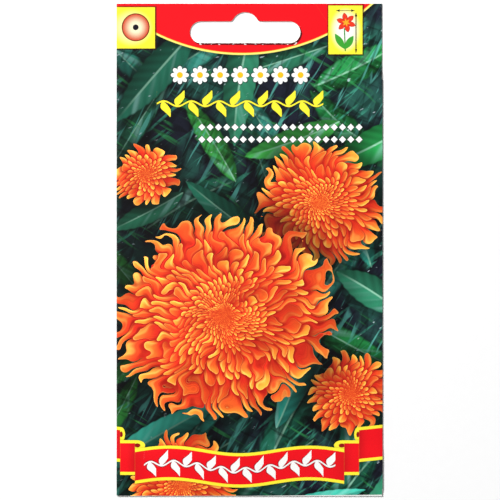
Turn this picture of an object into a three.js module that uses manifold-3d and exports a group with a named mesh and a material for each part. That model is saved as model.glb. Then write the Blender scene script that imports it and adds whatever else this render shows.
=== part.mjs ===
// A paper seed packet with a punched hang slot, lying on its back. Millimetres, +Z up, +Y towards the slot.
// The origin is the centre of the packet's outline, at the level of the surface that it lies on.
import * as THREE from "three";
import { mergeVertices } from "three/addons/utils/BufferGeometryUtils.js";
import Module from "manifold-3d";

// Outline of the closed packet
const WIDTH = 78;
const HEIGHT = 144.5;

// The paper, and the glue films between its layers
const PAPER = 0.15;
const GLUE = 0.05;
const GLUE_INSET = 0.6; // from a film's edge to the paper's

// Header: the flat glued strip at the top, with the hang slot
const HEADER = 18;
const SLOT_OFFSET = -1.3; // the slot's middle, from the packet's
const SLOT_WIDTH = 32.4;
const SLOT_HEIGHT = 6.4;
const SLOT_BELOW_TOP = 11.6; // from the packet's top edge down to the slot's lower edge
const BUMP_RISE = 2.7; // the rise in the middle of the slot, where a hook centres itself
const BUMP_RADIUS = 4;
const BUMP_FILLET = 1.2;

// Flaps of the blank: one turned in at the right, between the two panels, and one turned under at the bottom
const SIDE_FLAP = 9;
const SIDE_FLAP_ABOVE_BOTTOM = 2.25;
const SIDE_FLAP_BELOW_TOP = 22.25;
const BOTTOM_FLAP = 12;
const BOTTOM_FLAP_BEVEL = 3;
const DRAPE = 3; // the length over which paper bends down past the edge of a flap

// Pocket
const POCKET_RISE = 2.6; // how far the seeds lift the front panel
const GRID_STEP = 4; // size of the front panel's cells
const FOLD_CELLS = 4; // cells round a fold

// Seeds
const SEED_COUNT = 36;
const SEED_SIDES = 6;
const SEED_LENGTH = 10;
const SEED_RADIUS = 0.5;
const SEED_SPACING = 1.6; // least distance between the axes of two seeds
const SEED_CLEARANCE = 0.1; // between a seed and the paper
const SEED_START = 11; // start of the random placing

const PRINTED_COLOUR = 0xd9641f;
const GLUE_COLOUR = 0xe9e4d2;
const SEED_COLOUR = 0x1d1a17;

const LEFT = -WIDTH / 2;
const RIGHT = WIDTH / 2;
const BOTTOM = -HEIGHT / 2;
const TOP = HEIGHT / 2;
const POCKET_TOP = TOP - HEADER;
const LAYER = PAPER + GLUE;
const SIDE_FOLD = (PAPER + LAYER) / 2; // outer radius of a fold round one film
const BOTTOM_FOLD = (PAPER + 2 * LAYER) / 2; // outer radius of the fold round the back panel
const FLAP_EDGE = RIGHT - SIDE_FLAP;
const FLAP_LOW = BOTTOM + SIDE_FLAP_ABOVE_BOTTOM;
const FLAP_HIGH = TOP - SIDE_FLAP_BELOW_TOP;
const BOTTOM_FLAP_EDGE = BOTTOM + BOTTOM_FLAP;
const PANEL_LEFT = LEFT + SIDE_FOLD;
const PANEL_RIGHT = RIGHT - SIDE_FOLD;
const PANEL_BOTTOM = BOTTOM + BOTTOM_FOLD;

const { clamp, lerp, smoothstep } = THREE.MathUtils;

// Level of the back panel's underside: it lies on the bottom flap, and past the flap on the surface.
function backLevel(y) {
  return LAYER * (1 - smoothstep(y, BOTTOM_FLAP_EDGE, BOTTOM_FLAP_EDGE + DRAPE));
}

// How far the seeds lift the front panel: a lens across the width, fullest a third of the way up the pocket.
function pocketRise(x, y) {
  const across = x / RIGHT;
  const up = clamp((y - BOTTOM) / (POCKET_TOP - BOTTOM), 0, 1);
  const profile = (27 / 4) * up * (1 - up) * (1 - up);
  return POCKET_RISE * (1 - across * across) * profile;
}

// How far the front panel stands higher where it passes over the side flap.
function riseOverFlap(x, y) {
  const across = smoothstep(x, FLAP_EDGE - 2 * DRAPE, FLAP_EDGE);
  const up = smoothstep(y, PANEL_BOTTOM, FLAP_LOW) * (1 - smoothstep(y, FLAP_HIGH, POCKET_TOP));
  return LAYER * across * up;
}

// Level of the front panel's underside.
function frontLevel(x, y) {
  return backLevel(y) + LAYER + pocketRise(x, y) + riseOverFlap(x, y);
}

// Values from each stop to the next, in even steps that are no longer than the longest one allowed.
function spaced(stops, longest) {
  const values = [stops[0]];
  for (let i = 1; i < stops.length; i += 1) {
    const count = Math.ceil(Math.abs(stops[i] - stops[i - 1]) / longest - 1e-6);
    for (let k = 1; k <= count; k += 1) values.push(lerp(stops[i - 1], stops[i], k / count));
  }
  return values;
}

// The paper's outer and inner face at a point of a level stretch whose underside is at the given level.
function levelFaces(x, y, level, printedSideUp) {
  const faces = [new THREE.Vector3(x, y, level), new THREE.Vector3(x, y, level + PAPER)];
  return printedSideUp ? faces.reverse() : faces;
}

// The paper's outer and inner face at a point of a fold, in the given direction from its centre line.
function foldFaces(centre, direction, radius) {
  return [radius, radius - PAPER].map((reach) => centre.clone().addScaledVector(direction, reach));
}

// The blank's columns, from the side flap's free edge to the back panel's. Each gives the paper's faces at a height y.
function blankColumns() {
  const xs = spaced([PANEL_RIGHT, FLAP_EDGE, PANEL_LEFT], GRID_STEP);
  const inner = { region: "side flap", faces: (y) => levelFaces(FLAP_EDGE, y, backLevel(y) + LAYER, false) };
  const rightFold = foldColumns("side flap", -Math.PI / 2, Math.PI / 2, (y) =>
    new THREE.Vector3(PANEL_RIGHT, y, backLevel(y) + LAYER + SIDE_FOLD),
  );
  const front = xs.map((x) => ({ region: "front", x, faces: (y) => levelFaces(x, y, frontLevel(x, y), true) }));
  const leftFold = foldColumns("back", Math.PI / 2, Math.PI * 1.5, (y) =>
    new THREE.Vector3(PANEL_LEFT, y, backLevel(y) + SIDE_FOLD),
  );
  const outer = { region: "back", faces: (y) => levelFaces(PANEL_RIGHT, y, backLevel(y), false) };
  return [inner, ...rightFold.slice(0, -1), ...front, ...leftFold.slice(1), outer];
}

// The columns round a side fold, from one angle to the other.
function foldColumns(region, from, to, centreAt) {
  return spaced([from, to], Math.PI / FOLD_CELLS).map((angle) => {
    const direction = new THREE.Vector3(Math.cos(angle), 0, Math.sin(angle));
    return { region, faces: (y) => foldFaces(centreAt(y), direction, SIDE_FOLD) };
  });
}

// The blank's rows below the front panel, from the bottom flap's free edge. Each gives the paper's faces at a width x.
function bottomRows() {
  const taper = (PANEL_RIGHT - BOTTOM_FLAP_BEVEL) / PANEL_RIGHT;
  const free = { faces: (x) => levelFaces(x * taper, BOTTOM_FLAP_EDGE, 0, false) };
  const fold = spaced([-Math.PI / 2, Math.PI / 2], Math.PI / FOLD_CELLS).map((angle) => {
    const direction = new THREE.Vector3(0, -Math.cos(angle), Math.sin(angle));
    return { faces: (x) => foldFaces(new THREE.Vector3(x, PANEL_BOTTOM, BOTTOM_FOLD), direction, BOTTOM_FOLD) };
  });
  return [free, ...fold.slice(0, -1)];
}

// The blank's rows across the panels, each at its height.
function panelRows() {
  const drapeEnd = BOTTOM_FLAP_EDGE + DRAPE;
  const stops = [PANEL_BOTTOM, FLAP_LOW, BOTTOM_FLAP_EDGE, BOTTOM_FLAP_EDGE + DRAPE / 2, drapeEnd, FLAP_HIGH];
  return [...spaced([...stops, POCKET_TOP], GRID_STEP), TOP].map((y) => ({ y }));
}

// The folded blank before the slot is punched: a grid of cells with an outer face, an inner face and cut edges.
function foldedBlank() {
  const columns = blankColumns();
  const rows = [...bottomRows(), ...panelRows()];
  const corners = columns.map((column) =>
    rows.map((row) => {
      if (row.y !== undefined) return column.faces(row.y);
      return column.region === "front" ? row.faces(column.x) : null;
    }),
  );

  // A cell lies between a column and a row and the next ones.
  function isPaper(i, j) {
    if (i < 0 || j < 0 || i + 1 >= columns.length || j + 1 >= rows.length) return false;
    const regions = [columns[i].region, columns[i + 1].region];
    if (rows[j].y === undefined) return regions.every((region) => region === "front");
    if (!regions.includes("side flap")) return true;
    return rows[j].y >= FLAP_LOW && rows[j + 1].y <= FLAP_HIGH;
  }

  const points = [];
  const quad = (a, b, c, d) => points.push(a, b, c, a, c, d);
  for (let i = 0; i < columns.length; i += 1) {
    for (let j = 0; j < rows.length; j += 1) {
      if (!isPaper(i, j)) continue;
      const [a, b, c, d] = [corners[i][j], corners[i + 1][j], corners[i + 1][j + 1], corners[i][j + 1]];
      const [outside, inside] = [0, 1];
      points.push(a[outside], d[outside], c[outside], a[outside], c[outside], b[outside]);
      points.push(a[inside], c[inside], d[inside], a[inside], b[inside], c[inside]);
      const cutEdge = (p, q) => quad(q[outside], p[outside], p[inside], q[inside]);
      if (!isPaper(i - 1, j)) cutEdge(a, d);
      if (!isPaper(i, j + 1)) cutEdge(d, c);
      if (!isPaper(i + 1, j)) cutEdge(c, b);
      if (!isPaper(i, j - 1)) cutEdge(b, a);
    }
  }
  return new THREE.BufferGeometry().setFromPoints(points);
}

// The hang slot's outline: round ends, a straight lower edge, and a rounded bump in the middle of the upper edge.
function slotShape() {
  const low = TOP - SLOT_BELOW_TOP;
  const high = low + SLOT_HEIGHT;
  const end = SLOT_HEIGHT / 2;
  const side = SLOT_WIDTH / 2 - end;
  const bumpCentre = high + BUMP_RISE - BUMP_RADIUS;
  const filletCentre = high + BUMP_FILLET;
  const reach = BUMP_RADIUS + BUMP_FILLET;
  const lean = Math.asin((filletCentre - bumpCentre) / reach);
  const filletX = reach * Math.cos(lean);
  const shape = new THREE.Shape();
  shape.moveTo(SLOT_OFFSET - side, low);
  shape.absarc(SLOT_OFFSET + side, low + end, end, -Math.PI / 2, Math.PI / 2, false);
  shape.absarc(SLOT_OFFSET + filletX, filletCentre, BUMP_FILLET, -Math.PI / 2, -Math.PI + lean, true);
  shape.absarc(SLOT_OFFSET, bumpCentre, BUMP_RADIUS, lean, Math.PI - lean, false);
  shape.absarc(SLOT_OFFSET - filletX, filletCentre, BUMP_FILLET, -lean, -Math.PI / 2, true);
  shape.absarc(SLOT_OFFSET - side, low + end, end, Math.PI / 2, Math.PI * 1.5, false);
  return shape;
}

// A flat plate from an outline in the XY plane, between two levels.
function plate(shape, low, high) {
  const options = { depth: high - low, bevelEnabled: false, curveSegments: 8 };
  return new THREE.ExtrudeGeometry(shape, options).translate(0, 0, low);
}

// A rectangle in the XY plane, with opposite corners at two points.
function rectangle(x0, y0, x1, y1) {
  return new THREE.Shape([
    new THREE.Vector2(x0, y0),
    new THREE.Vector2(x1, y0),
    new THREE.Vector2(x1, y1),
    new THREE.Vector2(x0, y1),
  ]);
}

// A closed geometry as a solid that can be cut.
function solidOf(geometry) {
  const bare = geometry.clone();
  bare.deleteAttribute("normal");
  bare.deleteAttribute("uv");
  const merged = mergeVertices(bare, 1e-5);
  const mesh = new wasm.Mesh({
    numProp: 3,
    vertProperties: merged.attributes.position.array,
    triVerts: new Uint32Array(merged.index.array),
  });
  return new wasm.Manifold(mesh);
}

// A geometry with the hang slot punched out of it.
function punched(geometry) {
  const punch = plate(slotShape(), -1, 1);
  const { vertProperties, triVerts } = solidOf(geometry).subtract(solidOf(punch)).getMesh();
  const indexed = new THREE.BufferGeometry();
  indexed.setAttribute("position", new THREE.BufferAttribute(vertProperties, 3));
  indexed.setIndex(new THREE.BufferAttribute(triVerts, 1));
  return indexed.toNonIndexed();
}

function headerGlue() {
  const outline = rectangle(
    PANEL_LEFT + GLUE_INSET,
    POCKET_TOP + GLUE_INSET,
    PANEL_RIGHT - GLUE_INSET,
    TOP - GLUE_INSET,
  );
  return punched(plate(outline, PAPER, LAYER));
}

// The film under the side flap, from where the back panel lies on the surface to the flap's upper end.
function sideSeamGlue() {
  const low = BOTTOM_FLAP_EDGE + DRAPE + GLUE_INSET;
  const outline = rectangle(FLAP_EDGE + GLUE_INSET, low, PANEL_RIGHT - GLUE_INSET, FLAP_HIGH - GLUE_INSET);
  return plate(outline, PAPER, LAYER);
}

function bottomFlapGlue() {
  const side = PANEL_RIGHT - BOTTOM_FLAP_BEVEL;
  const outline = rectangle(-side, PANEL_BOTTOM + GLUE_INSET, side, BOTTOM_FLAP_EDGE - GLUE_INSET);
  return plate(outline, PAPER, LAYER);
}

// A seed lying along X: a slim dark fruit that widens into a brush of pale scales at its upper end.
function seedGeometry() {
  const profile = [
    [0, 0],
    [0.03, 0.35],
    [0.25, 0.75],
    [0.55, 0.86],
    [0.66, 0.68],
    [0.9, 1],
    [1, 0.5],
    [1, 0],
  ].map(([along, radius]) => new THREE.Vector2(radius * SEED_RADIUS, (along - 0.5) * SEED_LENGTH));
  return new THREE.LatheGeometry(profile, SEED_SIDES).rotateZ(-Math.PI / 2);
}

// A random source that starts from a set value, so that the seeds lie the same way each time.
function randomSource(start) {
  let state = start;
  return () => {
    state = (Math.imul(state, 1664525) + 1013904223) >>> 0;
    return state / 2 ** 32;
  };
}

// Points along the axis of a seed at a place.
function axisPoints({ x, y, turn }) {
  const reach = new THREE.Vector2(Math.cos(turn), Math.sin(turn)).multiplyScalar(SEED_LENGTH / 2);
  return spaced([-1, 1], 0.1).map((along) => new THREE.Vector2(x, y).addScaledVector(reach, along));
}

// Level of the axis of a seed that lies across these points of the back panel.
function seedLevel(points) {
  return Math.max(...points.map((p) => backLevel(p.y))) + PAPER + SEED_CLEARANCE + SEED_RADIUS;
}

// Seeds lie flat on the back panel, beside each other, where the pocket is high enough for them.
function seedPlaces() {
  const random = randomSource(SEED_START);
  const headroom = PAPER + 2 * (SEED_RADIUS + SEED_CLEARANCE);
  const places = [];
  while (places.length < SEED_COUNT) {
    const place = { x: lerp(LEFT, FLAP_EDGE, random()), y: lerp(BOTTOM, 20, random() ** 1.4), turn: 2 * Math.PI * random() };
    const points = axisPoints(place);
    const fits = points.every((p) => p.x < FLAP_EDGE - SEED_SPACING && pocketRise(p.x, p.y) > headroom);
    const isClear = (other) => axisPoints(other).every((q) => points.every((p) => p.distanceTo(q) > SEED_SPACING));
    if (fits && places.every(isClear)) places.push({ ...place, level: seedLevel(points) });
  }
  return places;
}

function named(name, geometry, color, roughness) {
  geometry.computeVertexNormals();
  const mesh = new THREE.Mesh(geometry, new THREE.MeshStandardMaterial({ color, roughness, metalness: 0 }));
  mesh.name = name;
  return mesh;
}

const wasm = await Module();
wasm.setup();

const packet = new THREE.Group();
packet.add(named("paper_sheet", punched(foldedBlank()), PRINTED_COLOUR, 0.35));
packet.add(named("header_glue", headerGlue(), GLUE_COLOUR, 0.5));
packet.add(named("side_seam_glue", sideSeamGlue(), GLUE_COLOUR, 0.5));
packet.add(named("bottom_flap_glue", bottomFlapGlue(), GLUE_COLOUR, 0.5));

seedPlaces().forEach(({ x, y, turn, level }, i) => {
  const seed = named(`seed_${String(i + 1).padStart(2, "0")}`, seedGeometry(), SEED_COLOUR, 0.6);
  seed.position.set(x, y, level);
  seed.rotation.z = turn;
  packet.add(seed);
});

export default packet;
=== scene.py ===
import math
import random

import bpy
import numpy as np
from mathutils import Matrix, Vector


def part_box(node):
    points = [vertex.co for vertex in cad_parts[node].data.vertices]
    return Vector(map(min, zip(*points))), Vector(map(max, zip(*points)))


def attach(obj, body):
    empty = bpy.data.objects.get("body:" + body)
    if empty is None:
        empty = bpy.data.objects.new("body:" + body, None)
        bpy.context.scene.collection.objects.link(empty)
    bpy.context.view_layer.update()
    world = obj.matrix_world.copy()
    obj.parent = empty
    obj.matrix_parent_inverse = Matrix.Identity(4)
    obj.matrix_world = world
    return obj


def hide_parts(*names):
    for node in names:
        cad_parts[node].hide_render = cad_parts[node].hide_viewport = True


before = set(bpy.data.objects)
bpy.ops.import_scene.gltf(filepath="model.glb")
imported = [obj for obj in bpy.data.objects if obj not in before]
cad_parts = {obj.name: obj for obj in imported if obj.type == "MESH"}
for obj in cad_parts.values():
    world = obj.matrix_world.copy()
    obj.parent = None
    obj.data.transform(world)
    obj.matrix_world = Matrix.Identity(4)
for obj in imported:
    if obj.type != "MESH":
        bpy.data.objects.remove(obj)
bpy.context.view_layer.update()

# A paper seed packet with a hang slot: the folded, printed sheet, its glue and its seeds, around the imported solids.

MM = 0.001  # sizes below are in millimetres unless they say otherwise

# The packet's outline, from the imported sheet
LOW, HIGH = (np.array(corner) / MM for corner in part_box("paper_sheet"))
LEFT, BOTTOM = LOW[:2]
RIGHT, TOP = HIGH[:2]

# The sheet's layers, folds and flaps, as in the solids
PAPER = 0.15
GLUE = 0.05
LAYER = PAPER + GLUE
HEADER = 18
SIDE_FLAP = 9
SIDE_FLAP_ABOVE_BOTTOM = 2.25
SIDE_FLAP_BELOW_TOP = 22.25
BOTTOM_FLAP = 12
BOTTOM_FLAP_BEVEL = 3
DRAPE = 3
POCKET_RISE = 2.6
POCKET_TOP = TOP - HEADER
SIDE_FOLD = (PAPER + LAYER) / 2
BOTTOM_FOLD = (PAPER + 2 * LAYER) / 2
FLAP_EDGE = RIGHT - SIDE_FLAP
FLAP_LOW = BOTTOM + SIDE_FLAP_ABOVE_BOTTOM
FLAP_HIGH = TOP - SIDE_FLAP_BELOW_TOP
BOTTOM_FLAP_EDGE = BOTTOM + BOTTOM_FLAP
PANEL_LEFT = LEFT + SIDE_FOLD
PANEL_RIGHT = RIGHT - SIDE_FOLD
PANEL_BOTTOM = BOTTOM + BOTTOM_FOLD

# The hang slot
SLOT_OFFSET = -1.3
SLOT_WIDTH = 32.4
SLOT_HEIGHT = 6.4
SLOT_BELOW_TOP = 11.6
BUMP_RISE = 2.7
BUMP_RADIUS = 4
BUMP_FILLET = 1.2

# The visible sheet's cells, waves and burr
GRID_STEP = 1.5
FOLD_CELLS = 8
WAVE_DEPTH = 0.34
CREASE_DEPTH = 0.1
BURR_DEPTH = 0.05
BURR_SEED = 3

# The visible sheet's materials and maps
FRONT_SLOT, BACK_SLOT, BARE_SLOT = 0, 1, 2
PRINT_MAP = "Print"  # the UV map that holds a point's place on the flat blank
PRINT_SPAN = 300.0  # millimetres across that map
BAKE_MAP = "OFBake"  # the UV map for baked pictures: most of it is the printed side
BAKE_SPAN = 158.0
BAKE_MARGIN = 0.4  # round each part of it
BACK_SQUEEZE = 0.6  # the back panel's share of the front's detail across
BARE_SQUEEZE = 0.1  # the unprinted side's

# The photograph's frame, for the camera
FRAME_PIXELS = 500
PIXELS_PER_MM = 3.408
PACKET_PIXEL = (249.6, 250.0)


# ---- numbers that vary over a surface


class Field:
    """A number or a colour that varies over a surface. Arithmetic on it adds math nodes to the material being made."""

    tree = None

    def __init__(self, socket):
        self.socket = socket

    def __add__(self, other):
        return operate("ADD", self, other)

    def __sub__(self, other):
        return operate("SUBTRACT", self, other)

    def __rsub__(self, other):
        return operate("SUBTRACT", other, self)

    def __mul__(self, other):
        return operate("MULTIPLY", self, other)

    def __truediv__(self, other):
        return operate("DIVIDE", self, other)

    def __neg__(self):
        return operate("MULTIPLY", self, -1.0)


def new_node(kind, **settings):
    node = Field.tree.nodes.new(kind)
    for name, value in settings.items():
        setattr(node, name, value)
    return node


def feed(socket, value):
    """Gives a socket a field, a plain value, or a colour written as #rrggbb."""
    if isinstance(value, Field):
        Field.tree.links.new(value.socket, socket)
    elif isinstance(value, str):
        socket.default_value = (*linear(value), 1.0)
    elif socket.type == "RGBA":
        socket.default_value = (*value, 1.0)
    else:
        socket.default_value = value


def feed_all(sockets, values):
    for socket, value in zip(sockets, values):
        feed(socket, value)


def fed(node, **values):
    """A node's first result, once its named inputs have their values."""
    for name, value in values.items():
        feed(node.inputs[name], value)
    return Field(node.outputs[0])


NUMBER, COLOUR = "NodeSocketFloat", "NodeSocketColor"


def node_group(taken, given):
    """Makes a function of fields into a node group, whose nodes are made only once."""

    def dress(function):
        made = []

        def call(*values):
            if not made:
                outer, Field.tree = Field.tree, bpy.data.node_groups.new(function.__name__, "ShaderNodeTree")
                made.append(Field.tree)
                for number, kind in enumerate(taken):
                    Field.tree.interface.new_socket(f"taken {number}", in_out="INPUT", socket_type=kind)
                for number, kind in enumerate(given):
                    Field.tree.interface.new_socket(f"given {number}", in_out="OUTPUT", socket_type=kind)
                starts = new_node("NodeGroupInput").outputs
                results = function(*[Field(starts[number]) for number in range(len(taken))])
                feed_all(new_node("NodeGroupOutput").inputs, results)
                Field.tree = outer
            node = new_node("ShaderNodeGroup", node_tree=made[0])
            feed_all(node.inputs, values)
            return [Field(socket) for socket in node.outputs]

        return call

    return dress


def operate(operation, *values):
    node = new_node("ShaderNodeMath", operation=operation)
    feed_all(node.inputs, values)
    return Field(node.outputs[0])


def absolute(value):
    return operate("ABSOLUTE", value)


def floor(value):
    return operate("FLOOR", value)


def greatest(a, b):
    return operate("MAXIMUM", a, b)


def power(value, exponent):
    return operate("POWER", value, exponent)


def distance(x, y):
    return operate("SQRT", operate("MULTIPLY_ADD", x, x, y * y))


def step_up(value, low, high):
    """0 where value is low, 1 where it is high, and smooth between them. It falls if high is the smaller."""
    node = new_node("ShaderNodeMapRange", interpolation_type="SMOOTHSTEP", clamp=False)
    feed_all(node.inputs, (value, low, high))
    return Field(node.outputs[0])


def under(value, limit, soft):
    """1 where value is under a limit, and 0 over it, with so soft an edge."""
    return step_up(value, limit + soft, limit - soft)


def between(value, low, high, soft):
    """1 where value lies between two limits, and 0 outside them, with so soft an edge."""
    return under(absolute(value - (low + high) / 2), (high - low) / 2, soft)


def chosen(a, b, share):
    """Number a where share is 0, and b where it is 1."""
    node = new_node("ShaderNodeMix", data_type="FLOAT")
    feed_all([node.inputs[k] for k in (0, 2, 3)], (share, a, b))
    return Field(node.outputs[0])


def mixed(a, b, share):
    """Colour a where share is 0, and b where it is 1."""
    node = new_node("ShaderNodeMix", data_type="RGBA")
    feed_all([node.inputs[k] for k in (0, 6, 7)], (share, a, b))
    return Field(node.outputs[2])


def lit(colour, light):
    """A colour made lighter or darker without a change of hue."""
    return fed(new_node("ShaderNodeHueSaturation"), Color=colour, Value=light)


def linear(code):
    """A colour given as #rrggbb, as linear red, green and blue."""
    shares = [int(code[i : i + 2], 16) / 255 for i in (1, 3, 5)]
    return tuple(s / 12.92 if s <= 0.04045 else ((s + 0.055) / 1.055) ** 2.4 for s in shares)


def seen_from(x, y, middle_x, middle_y, turn, length, width):
    """Places along and across a shape from its middle, in units of its size. It is turned by so many radians."""
    x, y = x - middle_x, y - middle_y
    cosine, sine = operate("COSINE", turn), operate("SINE", turn)
    return (x * cosine + y * sine) / length, (y * cosine - x * sine) / width


class Plane:
    """A point's place in a flat picture: x and y as numbers, and the vector they come from, for noise."""

    def __init__(self, vector):
        node = new_node("ShaderNodeSeparateXYZ")
        feed(node.inputs[0], vector)
        self.vector = vector
        self.x = Field(node.outputs[0])
        self.y = Field(node.outputs[1])

    def noise(self, size, turn=0, offset=0, detail=2.0, distortion=0.0):
        """Noise between 0 and 1 whose patches are about so many millimetres long and wide."""
        origin, angles = (offset, -offset, 0), (0, 0, math.radians(turn))
        place = mapped(self.vector, Location=origin, Rotation=angles, Scale=(*size, 1))
        return noise(place, 1.0, detail, 0.5, "2D", distortion)


def mapped(vector, **values):
    """A point's place, once an origin is taken from it and it is turned back and divided by a scale."""
    return fed(new_node("ShaderNodeMapping", vector_type="TEXTURE"), Vector=vector, **values)


def noise(vector, scale, detail=2.0, roughness=0.5, dimensions="3D", distortion=0.0):
    """Smooth noise between 0 and 1."""
    node = new_node("ShaderNodeTexNoise", noise_dimensions=dimensions)
    return fed(node, Vector=vector, Scale=scale, Detail=detail, Roughness=roughness, Distortion=distortion)


def ripple(value, detail=1.0):
    """Noise between 0 and 1 along a single number."""
    return fed(new_node("ShaderNodeTexNoise", noise_dimensions="1D"), W=value, Scale=1.0, Detail=detail)


def chance(value):
    """A random number between 0 and 1 for each number."""
    return fed(new_node("ShaderNodeTexWhiteNoise", noise_dimensions="1D"), W=value)


# ---- what is printed on the packet

RED = "#f2101d"
YELLOW = "#fff23a"
ORANGE = "#f7941d"
GREEN = "#3a8f3f"
WHITE = "#fdfdfa"
BLACK = "#000000"
INK = "#161320"
CREAM = "#f6efdc"

# Header: red down to an arc, with a yellow line along it
ARC_MIDDLE = (-2.2, 114.2)
ARC_RADIUS = 57.0
ARC_LINE = 0.62

# Two cards over the header's ends, as lowest and highest x and y
SUN_CARD = (LEFT - 2, -27.75, 59.1, 71.2)
FLOWER_CARD = (23.1, 33.1, 57.4, 71.7)
SUN_MIDDLE = (-33.4, 65.3)
SUN_RADIUS = 4.1
SUN_DOT = 0.9
SIGN_FLOWER = (28.3, 66.7)
SIGN_LEAVES = (27.95, 58.9)

# Blossoms: middle, turn, size along and across, petals in a ring, growth from ring to ring, rings
BLOSSOMS = [
    (-20.0, -69.0, 0.9, 18.0, 16.5, 27.0, 1.34, 8.0),
    (-30.5, 22.0, 0.4, 11.0, 10.0, 21.0, 1.4, 6.0),
    (21.0, 14.0, -0.35, 21.0, 19.0, 33.0, 1.31, 9.0),
    (29.0, -42.0, 0.7, 14.0, 13.0, 23.0, 1.38, 6.0),
    (-7.5, -19.5, 0.2, 35.0, 32.0, 43.0, 1.25, 12.0),
]

# The banner near the foot, a ribbon that is folded twice at each end
BANNER_MIDDLE = (-2.95, -63.43)
BANNER_HALF = 5.1
BANNER_EDGE = 0.9
BANNER_WAVE = 1.08
BANNER_WAVELENGTH = 41.0
FIRST_FOLD = 30.65
SECOND_FOLD = 35.0
FIRST_ROLL = (-57.25, 2.3, 1.5)  # the roll at a fold: its middle's y, its reach and its half height
SECOND_ROLL = (-54.05, 1.1, 2.1)
FOLDED_LEVEL = -60.83
TAIL_LEVEL = -57.0

SLOT_SHADOW_SHIFT = (0.45, -0.5)  # how far the slot's painted shadow is shifted from the slot, in x and y

# Leaves behind the blossoms
LEAVES = 44
FAR_LEAVES = 29  # these lie behind the undergrowth
LEAF_SEED = 12
LEAF_GREENS = ["#2c9180", "#1d7a3c", "#24694e", "#36a08c", "#1c5f4a", "#35913d"]
LEAF_STEPS = (0.7549, 0.5698)  # shares of the field from each leaf to the next, which spread them evenly
LEAF_FIELD = (84, 146)
LEAF_FIELD_LOW = (-42, -76)

# The back panel: half the width of what is on it, a strip of months, and the lines under it
BACK_HALF = 30.0
MONTH = 5.0
STRIP = (28.0, 34.0)
SOWING = (2.5, 5.5)
FLOWERING = (5.5, 9.5)
LINE_PITCH = 7.5
LINES = (-47.0, 12.0)


class Canvas:
    """The colour of a printed surface, built up from the back to the front."""

    def __init__(self, colour):
        self.colour = colour

    def paint(self, colour, cover):
        self.colour = mixed(self.colour, colour, cover)


def paint_foliage(canvas, plane):
    """Lance-shaped leaves over near black: blurred and dark far away, sharp and lighter in front."""
    canvas.paint("#1f4a42", step_up(plane.noise((14, 14), detail=4), 0.4, 0.65))
    draw = random.Random(LEAF_SEED)
    for rank in range(LEAVES):
        if rank == FAR_LEAVES:
            paint_undergrowth(canvas, plane)
        near = rank / (LEAVES - 1)
        middle_x, middle_y = (
            span * ((0.5 + rank * step) % 1) + low for span, step, low in zip(LEAF_FIELD, LEAF_STEPS, LEAF_FIELD_LOW)
        )
        turn = draw.choice([0, math.pi]) + draw.uniform(0.3, 1.3) * draw.choice([1, 1, -1])
        length, width = draw.uniform(22, 42), draw.uniform(2.8, 5.2)
        base = (middle_x - length / 2 * math.cos(turn), middle_y - length / 2 * math.sin(turn))
        colour = tuple((0.35 + 0.75 * near) * share for share in linear(draw.choice(LEAF_GREENS)))
        bend = draw.uniform(-1.6, 1.6)
        blur = 0.3 - 0.24 * near
        canvas.colour = leaf(canvas.colour, plane.x, plane.y, *base, turn, length, width, bend, colour, blur)[0]
    canvas.paint("#cfe6ee", step_up(plane.noise((3.2, 1.3), 25, 8, 2), 0.73, 0.82) * 0.5)


def paint_undergrowth(canvas, plane):
    """Thin stems and grassy blades among the leaves, light and dark."""
    for turn, offset, colour in ((38, 3, "#3f9a80"), (-33, 57, "#2f8a4a"), (62, 91, "#57ab9f")):
        blades = step_up(plane.noise((14, 1.5), turn, offset, 1, distortion=0.6), 0.58, 0.72)
        patches = step_up(plane.noise((11, 11), 0, offset + 20, 1), 0.4, 0.62)
        canvas.paint(colour, blades * patches * 0.6)
        gaps = step_up(plane.noise((12, 2.0), turn + 12, offset + 5, 1, distortion=0.6), 0.55, 0.7)
        canvas.paint(BLACK, gaps * 0.5)


@node_group([COLOUR] + [NUMBER] * 8 + [COLOUR, NUMBER], [COLOUR])
def leaf(behind, x, y, base_x, base_y, turn, length, width, bend, colour, blur):
    """A lance-shaped leaf with a pale rib, one lighter half and slanting veins, over what is behind it."""
    along, across = seen_from(x, y, base_x, base_y, turn, length, width)
    across = across - along * along * bend
    side = absolute(across)
    veins = operate("SINE", (along * length * 0.3 - side * 1.5) * (2 * math.pi))
    beyond = greatest(absolute(along - 0.5) - 0.5, 0.0)
    width_here = power(greatest(along * (1.0 - along) * 4.0, 0.0), 0.75) * (1.15 - along * 0.3)
    edge = width_here - side + veins * 0.02 - beyond * 9.0
    shaded = mixed(behind, BLACK, step_up(edge, -0.6, 0.1) * 0.6)
    half = step_up(across, -0.12, 0.12)
    light = veins * 0.09 + half * 0.7 + step_up(side, 0.0, 1.2) * -0.4 + step_up(along, 0.0, 0.35) * 0.3 + 0.5
    rib = step_up(side, 0.09, 0.02) * step_up(along, 1.0, 0.6) * step_up(blur, 0.6, 0.1)
    own = mixed(lit(colour, light), "#a6dcc0", rib * 0.5)
    gloss = step_up(ripple(along * 5.0 - side * 1.3 + base_x), 0.48, 0.78) * half * step_up(side, 1.1, 0.2)
    own = mixed(own, "#9fd2cc", gloss * 0.4)
    return [mixed(shaded, own, step_up(edge, blur * -0.3, blur))]


@node_group([NUMBER] * 4, [NUMBER] * 3)
def petal_ring(turned, reach, ring, petals):
    """One ring of petals: how far inside their outline a point lies, its place across its petal, and a random tone."""
    around = turned + ring * 0.5
    index = floor(around)
    across = around - index - 0.5
    tone = chance(operate("FLOORED_MODULO", index, petals) + ring * 31.0)
    outline = ring - power(absolute(across) * 2.0, 2.2) * 0.95 - tone * 0.55
    return [outline - reach, across, tone]


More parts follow.
